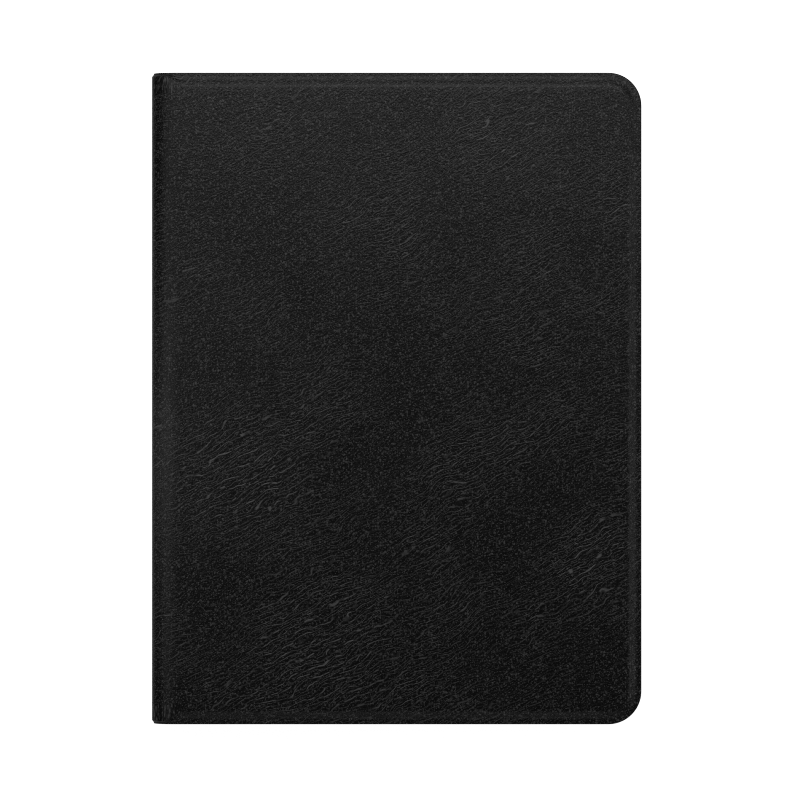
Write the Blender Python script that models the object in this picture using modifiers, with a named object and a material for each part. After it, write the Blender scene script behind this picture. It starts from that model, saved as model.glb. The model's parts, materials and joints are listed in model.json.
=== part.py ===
"""Folio case for an 11-inch tablet, modelled closed and lying on its back cover.

Metres, +Z up, with the origin on the table under the middle of the closed case. The spine
runs along Y at -X, the free edge is at +X, and +Y is the case's top edge.

The spine turns on the back cover and the front cover turns on the spine. The tray that
grips the tablet tilts on a strip beside the spine, and a prop leg behind the tray swings
down onto the back cover to stand the tablet up.
"""

import math

import bmesh
import bpy
from mathutils import Matrix

MM = 0.001

# The tablet that the tray grips, along Y, X and Z
TABLET_LENGTH = 247.6 * MM
TABLET_WIDTH = 178.5 * MM
TABLET_THICKNESS = 5.9 * MM
TABLET_CORNER = 18.0 * MM
TABLET_FIT = 0.2 * MM
TABLET_HEADROOM = 0.1 * MM

# Sheet materials
LEATHER = 0.8 * MM
LINING = 0.6 * MM
BACK_BOARD = 1.4 * MM
SPINE_BOARD = 0.8 * MM
FRONT_BOARD = 1.2 * MM
FOAM = 1.0 * MM
GLUE = 0.1 * MM

# Fits between pieces
CLEARANCE = 0.3 * MM
RUNNING_GAP = 0.2 * MM

# Covers
COVER_MARGIN = 2.4 * MM
COVER_CORNER = 13.0 * MM
SPINE_CORNER = 1.8 * MM
SPINE_ROOM = 5.6 * MM
SPINE_ROUND = 5.0 * MM
BACK_EDGE_ROUND = 1.2 * MM
FRONT_EDGE_ROUND = 1.5 * MM
TURN_IN = 8.0 * MM
FOAM_INSET = 4.0 * MM

# Tray
RIM_WALL = 1.6 * MM
RIM_LIP = 0.8 * MM
RIM_LIP_REACH = 1.2 * MM
RIM_ROUND = 0.6 * MM
TRAY_PLATE = 1.2 * MM
TRAY_LINER = 0.4 * MM
PAD_INSET = 3.0 * MM
TRAY_HINGE_INSET = 0.5 * MM
TRAY_TILT = 60.0

# Prop leg
LEG_THICKNESS = 2.0 * MM
LEG_SKIN = 0.5 * MM
LEG_CAMERA_GAP = 17.3 * MM
LEG_SIDE_GAP = 0.5 * MM
LEG_FOOT = 3.0 * MM
LEG_SLEEVE_END_WALL = 0.8 * MM

# Hinge strip between the back cover and the tray
STRIP_THICKNESS = 0.5 * MM
STRIP_INSET = 0.4 * MM
STRIP_END_GAP = 10.6 * MM
STRIP_CORNER = 1.0 * MM

# Camera window, a rounded square near the tablet's top corner
CAMERA_SIZE = 29.0 * MM
CAMERA_INSET = 22.0 * MM
CAMERA_ROUND = 8.0 * MM
CAMERA_STEP = 0.5 * MM

# Openings in the tray's rim
PORT_LENGTH = 13.0 * MM
PORT_HEIGHT = 5.0 * MM
SPEAKER_LENGTH = 22.0 * MM
SPEAKER_HEIGHT = 2.4 * MM
SPEAKER_INSET = 36.0 * MM

# Buttons moulded in the rim
BUTTON_HEIGHT = 3.0 * MM
BUTTON_PROUD = 0.6 * MM
BUTTON_TRAVEL = 0.4 * MM
POWER_LENGTH = 12.0 * MM
POWER_INSET = 28.0 * MM
VOLUME_LENGTH = 10.0 * MM
VOLUME_UP_INSET = 30.0 * MM
VOLUME_PITCH = 14.0 * MM

# Steel strips in the back board, one for each angle that the tray stands at
KEEPER_WIDTH = 8.0 * MM
KEEPER_END_GAP = 5.0 * MM
KEEPER_THICKNESS = 0.8 * MM
STAND_ANGLES = (60.0, 50.0, 40.0)

# Magnets in the front board and in the leg
CLOSURE_MAGNET = (5.0 * MM, 14.0 * MM)
CLOSURE_MAGNET_INSET = 9.0 * MM
CLOSURE_MAGNET_END_GAP = 32.0 * MM
CLOSURE_MAGNET_FROM_MIDDLE = 48.0 * MM
WAKE_MAGNET = (8.0 * MM, 8.0 * MM)
WAKE_MAGNET_INSET = 36.0 * MM
LEG_MAGNET = (4.0 * MM, 12.0 * MM)
LEG_MAGNET_INSET = 8.0 * MM
LEG_MAGNET_END_GAP = 24.0 * MM

# Cutters run this far past what they cut
PAST = 1.0 * MM
ARC_STEPS = 8

# Heights of the layers, from the table up
BACK_BOARD_LOW = LEATHER + GLUE
BACK_LINING_LOW = BACK_BOARD_LOW + BACK_BOARD + GLUE
BACK_TOP = BACK_LINING_LOW + LINING
LEG_LOW = BACK_TOP + RUNNING_GAP
LEG_HIGH = LEG_LOW + LEG_THICKNESS
HINGE_Z = LEG_LOW + LEG_THICKNESS / 2
PLATE_LOW = LEG_HIGH + RUNNING_GAP
PLATE_HIGH = PLATE_LOW + TRAY_PLATE
BAY_LOW = PLATE_HIGH + GLUE + TRAY_LINER
BAY_HIGH = BAY_LOW + TABLET_THICKNESS + TABLET_HEADROOM
RIM_TOP = BAY_HIGH + RIM_LIP
FRONT_LOW = RIM_TOP + CLEARANCE
FRONT_BOARD_LOW = FRONT_LOW + LINING + GLUE
FOAM_LOW = FRONT_BOARD_LOW + FRONT_BOARD + GLUE
FRONT_SKIN_LOW = FOAM_LOW + FOAM + GLUE
CASE_TOP = FRONT_SKIN_LOW + LEATHER

# Plan sizes
RIM_WIDTH = TABLET_WIDTH + 2 * (TABLET_FIT + RIM_WALL)
RIM_LENGTH = TABLET_LENGTH + 2 * (TABLET_FIT + RIM_WALL)
RIM_CORNER = TABLET_CORNER + TABLET_FIT + RIM_WALL
SPINE_THICKNESS = LEATHER + GLUE + SPINE_BOARD + GLUE + LINING
CASE_WIDTH = SPINE_THICKNESS + SPINE_ROOM + RIM_WIDTH + COVER_MARGIN
CASE_LENGTH = RIM_LENGTH + 2 * COVER_MARGIN
FREE_X = CASE_WIDTH / 2
SPINE_X = -CASE_WIDTH / 2
SPINE_INNER_X = SPINE_X + SPINE_THICKNESS
FLAT_X = SPINE_X + SPINE_ROUND
END_Y = CASE_LENGTH / 2
RIM_X1 = FREE_X - COVER_MARGIN
RIM_X0 = RIM_X1 - RIM_WIDTH
RIM_Y = RIM_LENGTH / 2
RIM_MIDDLE_X = (RIM_X0 + RIM_X1) / 2
BAY_MIDDLE_Z = (BAY_LOW + BAY_HIGH) / 2

# Creases, on the outer surface halfway round each long edge of the spine
CREASE_IN = SPINE_ROUND * (1 - math.sqrt(0.5))
REAR_CREASE = (SPINE_X + CREASE_IN, CREASE_IN)
FRONT_CREASE = (SPINE_X + CREASE_IN, CASE_TOP - CREASE_IN)

# Stand: the tray's hinge, the leg's hinge and the leg's tip are the corners of an
# isosceles triangle, so the tip keeps its height while it slides along the back cover
LEG_ROUND = LEG_THICKNESS / 2
TRAY_HINGE_X = RIM_X0 + TRAY_HINGE_INSET
LEG_LENGTH = (RIM_X1 - PAD_INSET - LEG_ROUND - TRAY_HINGE_X) / 2
LEG_HINGE_X = TRAY_HINGE_X + LEG_LENGTH
LEG_TIP_X = LEG_HINGE_X + LEG_LENGTH
LEG_SLEEVE_X1 = LEG_TIP_X - LEG_FOOT
FOLDED_ANGLE = math.radians(180.0 - 2 * TRAY_TILT)
PAD_ROUND_X = LEG_HINGE_X - (LEG_THICKNESS + RUNNING_GAP) / math.sin(FOLDED_ANGLE)
PAD_Y = RIM_Y - PAD_INSET
PAD_X1 = RIM_X1 - PAD_INSET
CAMERA_X = RIM_X1 - RIM_WALL - TABLET_FIT - CAMERA_INSET
CAMERA_Y = RIM_Y - RIM_WALL - TABLET_FIT - CAMERA_INSET
LEG_Y = CAMERA_Y - CAMERA_SIZE / 2 - LEG_CAMERA_GAP

# Outline planes: an outline's two coordinates are (x, y), (x, z) or (y, z)
TURNS = {
    "Z": (0.0, 0.0, 0.0),
    "Y": (math.pi / 2, 0.0, 0.0),
    "X": (math.pi / 2, 0.0, math.pi / 2),
}


def clear_scene():
    """Remove every object, mesh and curve of the start-up file."""
    for thing in list(bpy.data.objects):
        bpy.data.objects.remove(thing, do_unlink=True)


def new_collection(name):
    group = bpy.data.collections.new(name)
    bpy.context.scene.collection.children.link(group)
    return group


def make_material(name, colour, roughness, metallic=0.0):
    """A Principled material of one colour."""
    made = bpy.data.materials.new(name)
    made.use_nodes = True
    shader = made.node_tree.nodes["Principled BSDF"]
    shader.inputs["Base Color"].default_value = (*colour, 1.0)
    shader.inputs["Roughness"].default_value = roughness
    shader.inputs["Metallic"].default_value = metallic
    return made


def arc(centre, radius, start, end, steps=ARC_STEPS):
    """Points on an arc, from one angle in degrees to another."""
    points = []
    for step in range(steps + 1):
        angle = math.radians(start + (end - start) * step / steps)
        points.append((centre[0] + radius * math.cos(angle), centre[1] + radius * math.sin(angle)))
    return points


def rounded(u0, u1, v0, v1, radii):
    """A rectangle with rounded corners, from (u0, v0) anticlockwise; radius 0 is square."""
    corners = ((u0, v0, 1, 1), (u1, v0, -1, 1), (u1, v1, -1, -1), (u0, v1, 1, -1))
    points = []
    for turn, ((u, v, inward_u, inward_v), radius) in enumerate(zip(corners, radii)):
        if radius > 0:
            centre = (u + inward_u * radius, v + inward_v * radius)
            points += arc(centre, radius, 180 + 90 * turn, 270 + 90 * turn)
        else:
            points.append((u, v))
    return points


def prism(name, points, axis, low, high, group):
    """A flat outline, filled and extruded from low to high along an axis, as a mesh."""
    curve = bpy.data.curves.new(name, "CURVE")
    curve.dimensions = "2D"
    curve.fill_mode = "BOTH"
    curve.extrude = (high - low) / 2
    spline = curve.splines.new("POLY")
    spline.points.add(len(points) - 1)
    for point, (u, v) in zip(spline.points, points):
        point.co = (u, v, 0.0, 1.0)
    spline.use_cyclic_u = True
    outline = bpy.data.objects.new(name + "_outline", curve)
    outline.rotation_euler = TURNS[axis]
    outline.location["XYZ".index(axis)] = (low + high) / 2
    group.objects.link(outline)
    evaluated = outline.evaluated_get(bpy.context.evaluated_depsgraph_get())
    mesh = bpy.data.meshes.new_from_object(evaluated)
    mesh.name = name
    tidy_mesh(mesh)
    thing = bpy.data.objects.new(name, mesh)
    thing.matrix_world = evaluated.matrix_world
    group.objects.link(thing)
    bpy.data.objects.remove(outline, do_unlink=True)
    bpy.data.curves.remove(curve)
    return thing


def tidy_mesh(mesh):
    """Weld a filled outline's caps to its sides, with one face for each flat side."""
    cage = bmesh.new()
    cage.from_mesh(mesh)
    bmesh.ops.remove_doubles(cage, verts=cage.verts, dist=0.001 * MM)
    bmesh.ops.dissolve_limit(
        cage, angle_limit=math.radians(0.5), verts=cage.verts, edges=cage.edges
    )
    bmesh.ops.recalc_face_normals(cage, faces=cage.faces)
    cage.to_mesh(mesh)
    cage.free()


def round_edges(thing, radius, segments=3):
    """Round the sharp edges of an outline's two ends."""
    modifier = thing.modifiers.new("Rounded edges", "BEVEL")
    modifier.width = radius
    modifier.segments = segments
    modifier.limit_method = "ANGLE"
    modifier.angle_limit = math.radians(40.0)


def combine(thing, tool, operation):
    """Cut, or keep only what is shared, with a guide from the cutters' collection."""
    modifier = thing.modifiers.new(operation.title() + " " + tool.name, "BOOLEAN")
    modifier.operation = operation
    modifier.object = tool
    tool.hide_render = True
    tool.display_type = "WIRE"


def cut(thing, name, points, axis, low, high):
    """Cut an extruded outline out of a piece."""
    combine(thing, prism("cut_" + name, points, axis, low, high, CUTTERS), "DIFFERENCE")


def keep(thing, name, points, axis, low, high):
    """Keep only what lies inside an extruded outline."""
    combine(thing, prism("keep_" + name, points, axis, low, high, CUTTERS), "INTERSECT")


def finish(thing, surface, smooth=False):
    """Give a piece its material, and smooth shading where it is round."""
    thing.data.materials.clear()
    thing.data.materials.append(surface)
    if smooth:
        thing.data.shade_smooth()
        thing.data.set_sharp_from_angle(angle=math.radians(35.0))
    return thing


def axis_empty(name, x, z, parent=None):
    """An empty on a hinge's axis, which carries everything that the hinge moves."""
    empty = bpy.data.objects.new(name, None)
    empty.empty_display_size = 10 * MM
    empty.location = (x, 0.0, z)
    CASE.objects.link(empty)
    if parent:
        carry(parent, [empty])
    return empty


def carry(empty, pieces):
    """Parent pieces to a hinge's empty without moving them."""
    bpy.context.view_layer.update()
    for piece in pieces:
        piece.parent = empty
        piece.matrix_parent_inverse = empty.matrix_world.inverted()


def cover_plan(inset):
    """Outline of a closed cover, set in from its edges on every side."""
    spine = max(SPINE_CORNER - inset, 0.0)
    free = COVER_CORNER - inset
    return rounded(
        SPINE_X + inset, FREE_X - inset, inset - END_Y, END_Y - inset, (spine, free, free, spine)
    )


def flat_plan(left, inset):
    """Outline of a sheet inside a cover: square at its spine end, rounded at its free end."""
    free = COVER_CORNER - inset
    return rounded(left, FREE_X - inset, inset - END_Y, END_Y - inset, (0, free, free, 0))


def flip(points):
    """Mirror an (x, z) outline from the back cover's side to the front cover's side."""
    return [(x, CASE_TOP - z) for x, z in points]


def cover_section(height):
    """(x, z) region of the back cover: outside the crease's split plane, and past its edges.

    Half the crease's clearance is on each side of the split plane, which leans 45 degrees
    through the crease.
    """
    half = CLEARANCE / 2
    spread = math.degrees(math.asin(half / SPINE_ROUND))
    top = height + PAST
    points = arc((FLAT_X, SPINE_ROUND), SPINE_ROUND, 225 + spread, 270)
    points += [(FLAT_X, -PAST), (FREE_X + PAST, -PAST), (FREE_X + PAST, top)]
    points.append((REAR_CREASE[0] + top - REAR_CREASE[1] + half * math.sqrt(2), top))
    return points


def camera_plan(extra):
    """Outline of the camera window, grown by extra on each side."""
    half = CAMERA_SIZE / 2 + extra
    radius = CAMERA_ROUND + extra
    return rounded(
        CAMERA_X - half, CAMERA_X + half, CAMERA_Y - half, CAMERA_Y + half, (radius,) * 4
    )


def cut_camera(thing, low, high, extra):
    cut(thing, thing.name + "_camera", camera_plan(extra), "Z", low - PAST, high + PAST)


def cut_pockets(thing, label, places, size, low, high):
    """Cut a pocket for each magnet or strip, with clearance round it."""
    half_x = size[0] / 2 + CLEARANCE
    half_y = size[1] / 2 + CLEARANCE
    for number, (x, y) in enumerate(places, 1):
        outline = rounded(x - half_x, x + half_x, y - half_y, y + half_y, (0,) * 4)
        cut(thing, f"{label}_pocket_{number}", outline, "Z", low, high)


def blocks(name, places, size, thickness, middle, surface):
    """Equal rectangular magnets or strips, each its own piece, numbered from 1."""
    made = []
    for number, (x, y) in enumerate(places, 1):
        bpy.ops.mesh.primitive_cube_add(size=1.0, location=(x, y, middle))
        block = bpy.context.object
        block.name = f"{name}_{number}" if len(places) > 1 else name
        block.data.name = block.name
        block.data.transform(Matrix.Diagonal((*size, thickness, 1.0)))
        for group in list(block.users_collection):
            group.objects.unlink(block)
        CASE.objects.link(block)
        made.append(finish(block, surface))
    return made


def make_skin(name, plan_low, plan_high, core, mouth, edge, section):
    """A cover's leather: a sheet turned round the edges and in over the board.

    core is the height of the hollow that the board fills, and mouth the height of the
    opening in the turned-in leather that the lining fills.
    """
    skin = prism(name, cover_plan(0.0), "Z", plan_low, plan_high, CASE)
    round_edges(skin, edge)
    keep(skin, name + "_section", section, "Y", -END_Y - PAST, END_Y + PAST)
    cut(skin, name + "_core", flat_plan(FLAT_X, LEATHER), "Z", *core)
    cut(skin, name + "_mouth", flat_plan(SPINE_X - PAST, TURN_IN), "Z", *mouth)
    return finish(skin, LEATHER_BLACK, smooth=True)


def make_back_cover():
    """The cover that the case lies on: skin, board, steel strips and lining."""
    skin = make_skin(
        "back_skin",
        0.0,
        BACK_TOP,
        (LEATHER, BACK_LINING_LOW),
        (BACK_LINING_LOW - GLUE, BACK_TOP + PAST),
        BACK_EDGE_ROUND,
        cover_section(BACK_TOP),
    )
    cut_camera(skin, 0.0, BACK_TOP, CAMERA_STEP)

    board_high = BACK_BOARD_LOW + BACK_BOARD
    board = prism(
        "back_board", flat_plan(FLAT_X + GLUE, LEATHER + GLUE), "Z", BACK_BOARD_LOW, board_high, CASE
    )
    cut_camera(board, BACK_BOARD_LOW, board_high, CAMERA_STEP)
    reach = 2 * LEG_LENGTH
    strip_places = [
        (TRAY_HINGE_X + reach * math.cos(math.radians(angle)), 0.0) for angle in STAND_ANGLES
    ]
    strip_size = (KEEPER_WIDTH, 2 * (LEG_Y - KEEPER_END_GAP))
    pocket_low = board_high - KEEPER_THICKNESS - 2 * GLUE
    cut_pockets(board, "keeper", strip_places, strip_size, pocket_low, board_high + PAST)
    finish(board, BOARD_GREY)
    strip_middle = pocket_low + GLUE + KEEPER_THICKNESS / 2
    blocks("keeper_strip", strip_places, strip_size, KEEPER_THICKNESS, strip_middle, STEEL)

    lining_left = REAR_CREASE[0] + BACK_TOP - REAR_CREASE[1] + 2 * CLEARANCE
    lining = prism(
        "back_lining",
        flat_plan(lining_left, TURN_IN + CLEARANCE),
        "Z",
        BACK_LINING_LOW,
        BACK_TOP,
        CASE,
    )
    cut_camera(lining, BACK_LINING_LOW, BACK_TOP, CAMERA_STEP)
    finish(lining, LINING_CHARCOAL)

    strip_x0 = lining_left + STRIP_INSET
    strip_x1 = TRAY_HINGE_X - LEG_ROUND - CLEARANCE
    strip_y = RIM_Y - STRIP_END_GAP
    strip = prism(
        "tray_hinge_strip",
        rounded(strip_x0, strip_x1, -strip_y, strip_y, (STRIP_CORNER,) * 4),
        "Z",
        BACK_TOP + GLUE,
        BACK_TOP + GLUE + STRIP_THICKNESS,
        CASE,
    )
    finish(strip, LEATHER_BLACK)


def spine_section():
    """(x, z) outline of the spine between its two creases."""
    half = CLEARANCE / 2
    spread = math.degrees(math.asin(half / SPINE_ROUND))
    inner = SPINE_INNER_X
    inner_z = REAR_CREASE[1] + inner - REAR_CREASE[0] + half * math.sqrt(2)
    low = [(inner, inner_z)] + arc((FLAT_X, SPINE_ROUND), SPINE_ROUND, 225 - spread, 180)
    return low + flip(low)[::-1]


def make_spine():
    """The strip that joins the covers: skin, board and lining."""
    skin = prism("spine_skin", cover_plan(0.0), "Z", -PAST, CASE_TOP + PAST, CASE)
    keep(skin, "spine_skin_section", spine_section(), "Y", -END_Y - PAST, END_Y + PAST)
    board_x = SPINE_X + LEATHER + GLUE
    lining_x = board_x + SPINE_BOARD + GLUE
    core_y = END_Y - LEATHER
    core = rounded(-core_y, core_y, SPINE_ROUND, CASE_TOP - SPINE_ROUND, (0,) * 4)
    cut(skin, "spine_core", core, "X", SPINE_X + LEATHER, lining_x)
    mouth_y = END_Y - TURN_IN
    mouth = rounded(-mouth_y, mouth_y, -PAST, CASE_TOP + PAST, (0,) * 4)
    cut(skin, "spine_mouth", mouth, "X", lining_x - GLUE, SPINE_INNER_X + PAST)
    finish(skin, LEATHER_BLACK, smooth=True)

    board_y = core_y - GLUE
    board = prism(
        "spine_board",
        rounded(-board_y, board_y, SPINE_ROUND + GLUE, CASE_TOP - SPINE_ROUND - GLUE, (0,) * 4),
        "X",
        board_x,
        board_x + SPINE_BOARD,
        CASE,
    )
    finish(board, BOARD_GREY)

    lining_y = mouth_y - CLEARANCE
    lining_z = REAR_CREASE[1] + SPINE_INNER_X - REAR_CREASE[0] + CLEARANCE
    lining = prism(
        "spine_lining",
        rounded(-lining_y, lining_y, lining_z, CASE_TOP - lining_z, (0,) * 4),
        "X",
        lining_x,
        SPINE_INNER_X,
        CASE,
    )
    finish(lining, LINING_CHARCOAL)
    return [skin, board, lining]


def make_front_cover():
    """The cover over the screen: skin, foam, board with its magnets, and lining."""
    skin = make_skin(
        "front_skin",
        FRONT_LOW,
        CASE_TOP,
        (FRONT_BOARD_LOW - GLUE, FRONT_SKIN_LOW),
        (FRONT_LOW - PAST, FRONT_BOARD_LOW),
        FRONT_EDGE_ROUND,
        flip(cover_section(CASE_TOP - FRONT_LOW)),
    )

    foam = prism(
        "front_foam", flat_plan(FLAT_X + GLUE, FOAM_INSET), "Z", FOAM_LOW, FOAM_LOW + FOAM, CASE
    )
    finish(foam, FOAM_GREY)

    board_high = FRONT_BOARD_LOW + FRONT_BOARD
    board = prism(
        "front_board",
        flat_plan(FLAT_X + GLUE, LEATHER + GLUE),
        "Z",
        FRONT_BOARD_LOW,
        board_high,
        CASE,
    )
    outer_y = END_Y - CLOSURE_MAGNET_END_GAP
    inner_y = CLOSURE_MAGNET_FROM_MIDDLE
    closure_x = FREE_X - CLOSURE_MAGNET_INSET
    closure_places = [(closure_x, y) for y in (-outer_y, -inner_y, inner_y, outer_y)]
    wake_places = [(FREE_X - WAKE_MAGNET_INSET, 0.0)]
    through = (FRONT_BOARD_LOW - PAST, board_high + PAST)
    cut_pockets(board, "closure", closure_places, CLOSURE_MAGNET, *through)
    cut_pockets(board, "wake", wake_places, WAKE_MAGNET, *through)
    finish(board, BOARD_GREY)
    thickness = FRONT_BOARD - 2 * GLUE
    middle = FRONT_BOARD_LOW + FRONT_BOARD / 2
    magnets = blocks("closure_magnet", closure_places, CLOSURE_MAGNET, thickness, middle, NICKEL)
    magnets += blocks("wake_magnet", wake_places, WAKE_MAGNET, thickness, middle, NICKEL)

    lining_left = FRONT_CREASE[0] + FRONT_CREASE[1] - FRONT_LOW + 2 * CLEARANCE
    lining = prism(
        "front_lining",
        flat_plan(lining_left, TURN_IN + CLEARANCE),
        "Z",
        FRONT_LOW,
        FRONT_LOW + LINING,
        CASE,
    )
    finish(lining, LINING_CHARCOAL)
    return [skin, foam, board, lining] + magnets


def rim_plan(inset):
    """Outline of the tray's rim, set in from its outer face on every side."""
    radius = RIM_CORNER - inset
    return rounded(
        RIM_X0 + inset, RIM_X1 - inset, inset - RIM_Y, RIM_Y - inset, (radius,) * 4
    )


def slot(length, height, u, v):
    """Outline of a slot with round ends in a wall of the rim."""
    return rounded(
        u - length / 2, u + length / 2, v - height / 2, v + height / 2, (height / 2,) * 4
    )


def make_tray():
    """What grips the tablet: soft rim, hard plate, liner and the pads behind it."""
    rim = prism("tray_rim", rim_plan(0.0), "Z", PLATE_LOW, RIM_TOP, CASE)
    round_edges(rim, RIM_ROUND, segments=2)
    cut(rim, "bay", rim_plan(RIM_WALL), "Z", PLATE_LOW - PAST, BAY_HIGH)
    lip_inset = RIM_WALL + RIM_LIP_REACH
    cut(rim, "bay_mouth", rim_plan(lip_inset), "Z", BAY_HIGH - PAST, RIM_TOP + PAST)
    inner_y = RIM_Y - RIM_WALL - PAST
    outer_y = RIM_Y + PAST
    port = slot(PORT_LENGTH, PORT_HEIGHT, RIM_MIDDLE_X, BAY_MIDDLE_Z)
    cut(rim, "charging_port", port, "Y", -outer_y, -inner_y)
    left_speaker = slot(SPEAKER_LENGTH, SPEAKER_HEIGHT, RIM_X0 + SPEAKER_INSET, BAY_MIDDLE_Z)
    right_speaker = slot(SPEAKER_LENGTH, SPEAKER_HEIGHT, RIM_X1 - SPEAKER_INSET, BAY_MIDDLE_Z)
    cut(rim, "bottom_left_speaker", left_speaker, "Y", -outer_y, -inner_y)
    cut(rim, "bottom_right_speaker", right_speaker, "Y", -outer_y, -inner_y)
    cut(rim, "top_left_speaker", left_speaker, "Y", inner_y, outer_y)
    for name, place in BUTTONS.items():
        gap = 2 * CLEARANCE
        opening = slot(place["length"] + gap, BUTTON_HEIGHT + gap, place["along"], BAY_MIDDLE_Z)
        outer = place["face"] + PAST
        cut(rim, name + "_slot", opening, place["axis"], outer - RIM_WALL - 2 * PAST, outer)
    finish(rim, RUBBER_BLACK, smooth=True)

    plate_inset = RIM_WALL + CLEARANCE
    plate = prism("tray_plate", rim_plan(plate_inset), "Z", PLATE_LOW, PLATE_HIGH, CASE)
    cut_camera(plate, PLATE_LOW, PLATE_HIGH, 0.0)
    finish(plate, PLASTIC_BLACK)

    liner_low = PLATE_HIGH + GLUE
    liner = prism("tray_liner", rim_plan(plate_inset), "Z", liner_low, BAY_LOW, CASE)
    cut_camera(liner, liner_low, BAY_LOW, CAMERA_STEP)
    finish(liner, LINING_CHARCOAL)

    base = arc((TRAY_HINGE_X, HINGE_Z), LEG_ROUND, 90, 270)
    base += arc((PAD_ROUND_X, HINGE_Z), LEG_ROUND, -90, 90)
    pad = prism("tray_base_pad", base, "Y", -PAD_Y, PAD_Y, CASE)
    finish(pad, LEATHER_BLACK, smooth=True)

    side_x = PAD_ROUND_X + LEG_ROUND + CLEARANCE
    side_y = LEG_Y + LEG_SIDE_GAP
    round_end = RIM_CORNER - PAD_INSET
    top_pad = prism(
        "tray_top_pad",
        rounded(side_x, PAD_X1, side_y, PAD_Y, (0, 0, round_end, 0)),
        "Z",
        LEG_LOW,
        LEG_HIGH,
        CASE,
    )
    cut_camera(top_pad, LEG_LOW, LEG_HIGH, CAMERA_STEP)
    finish(top_pad, LEATHER_BLACK)
    bottom_pad = prism(
        "tray_bottom_pad",
        rounded(side_x, PAD_X1, -PAD_Y, -side_y, (0, round_end, 0, 0)),
        "Z",
        LEG_LOW,
        LEG_HIGH,
        CASE,
    )
    finish(bottom_pad, LEATHER_BLACK)
    return [rim, plate, liner, pad, top_pad, bottom_pad]


def make_button(name, place):
    """A cap in a slot of the rim, proud outside and short of the tablet inside."""
    outline = slot(place["length"], BUTTON_HEIGHT, place["along"], BAY_MIDDLE_Z)
    inner = place["face"] - RIM_WALL + BUTTON_TRAVEL
    button = prism(name, outline, place["axis"], inner, place["face"] + BUTTON_PROUD, CASE)
    return finish(button, RUBBER_BLACK, smooth=True)


def make_leg():
    """The prop: a board with magnets in a leather sleeve, and a rubber foot at its tip."""
    sleeve_end = [
        (LEG_SLEEVE_X1, HINGE_Z - LEG_ROUND),
        (LEG_SLEEVE_X1, HINGE_Z + LEG_ROUND),
    ]
    section = arc((LEG_HINGE_X, HINGE_Z), LEG_ROUND, 90, 270) + sleeve_end
    sleeve = prism("leg_sleeve", section, "Y", -LEG_Y, LEG_Y, CASE)
    hollow = LEG_ROUND - LEG_SKIN
    hollow_y = LEG_Y - LEG_SLEEVE_END_WALL
    core = rounded(
        LEG_HINGE_X, LEG_SLEEVE_X1 + PAST, HINGE_Z - hollow, HINGE_Z + hollow, (0,) * 4
    )
    cut(sleeve, "leg_core", core, "Y", -hollow_y, hollow_y)
    finish(sleeve, LEATHER_BLACK, smooth=True)

    board_y = hollow_y - GLUE
    half = hollow - GLUE
    board = prism(
        "leg_board",
        rounded(LEG_HINGE_X + GLUE, LEG_SLEEVE_X1, -board_y, board_y, (0,) * 4),
        "Z",
        HINGE_Z - half,
        HINGE_Z + half,
        CASE,
    )
    outer_y = LEG_Y - LEG_MAGNET_END_GAP
    places = [(LEG_TIP_X - LEG_MAGNET_INSET, y) for y in (-outer_y, 0.0, outer_y)]
    cut_pockets(board, "leg", places, LEG_MAGNET, HINGE_Z - PAST, HINGE_Z + PAST)
    finish(board, BOARD_GREY)
    thickness = 2 * (half - GLUE)
    magnets = blocks("leg_magnet", places, LEG_MAGNET, thickness, HINGE_Z, NICKEL)

    foot_x = LEG_SLEEVE_X1 + CLEARANCE
    tip = arc((LEG_TIP_X, HINGE_Z), LEG_ROUND, -90, 90)
    foot_back = [(foot_x, HINGE_Z + LEG_ROUND), (foot_x, HINGE_Z - LEG_ROUND)]
    foot = prism("leg_foot", tip + foot_back, "Y", -LEG_Y, LEG_Y, CASE)
    finish(foot, RUBBER_BLACK, smooth=True)
    return [sleeve, board, foot] + magnets


BUTTONS = {
    "power_button": {
        "axis": "Y",
        "face": RIM_Y,
        "along": RIM_X1 - POWER_INSET,
        "length": POWER_LENGTH,
    },
    "volume_up_button": {
        "axis": "X",
        "face": RIM_X1,
        "along": RIM_Y - VOLUME_UP_INSET,
        "length": VOLUME_LENGTH,
    },
    "volume_down_button": {
        "axis": "X",
        "face": RIM_X1,
        "along": RIM_Y - VOLUME_UP_INSET - VOLUME_PITCH,
        "length": VOLUME_LENGTH,
    },
}

clear_scene()
CASE = new_collection("tablet_case")
CUTTERS = new_collection("cutters")

LEATHER_BLACK = make_material("leather", (0.016, 0.016, 0.017), 0.5)
LINING_CHARCOAL = make_material("lining", (0.03, 0.03, 0.032), 0.95)
BOARD_GREY = make_material("board", (0.28, 0.26, 0.23), 0.9)
FOAM_GREY = make_material("foam", (0.09, 0.09, 0.09), 0.95)
STEEL = make_material("steel", (0.45, 0.45, 0.46), 0.35, 1.0)
NICKEL = make_material("magnet_nickel", (0.6, 0.59, 0.57), 0.2, 1.0)
PLASTIC_BLACK = make_material("tray_plastic", (0.015, 0.015, 0.016), 0.45)
RUBBER_BLACK = make_material("soft_rubber", (0.02, 0.02, 0.02), 0.65)

make_back_cover()
spine_axis = axis_empty("spine_fold_axis", *REAR_CREASE)
carry(spine_axis, make_spine())
cover_axis = axis_empty("cover_fold_axis", *FRONT_CREASE, parent=spine_axis)
carry(cover_axis, make_front_cover())
tray_axis = axis_empty("tray_tilt_axis", TRAY_HINGE_X, HINGE_Z)
carry(tray_axis, make_tray())
carry(tray_axis, [make_button(name, place) for name, place in BUTTONS.items()])
leg_axis = axis_empty("leg_swing_axis", LEG_HINGE_X, HINGE_Z, parent=tray_axis)
carry(leg_axis, make_leg())
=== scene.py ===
import json
import math

import bmesh
import bpy
from mathutils import Matrix, Vector, noise


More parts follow.
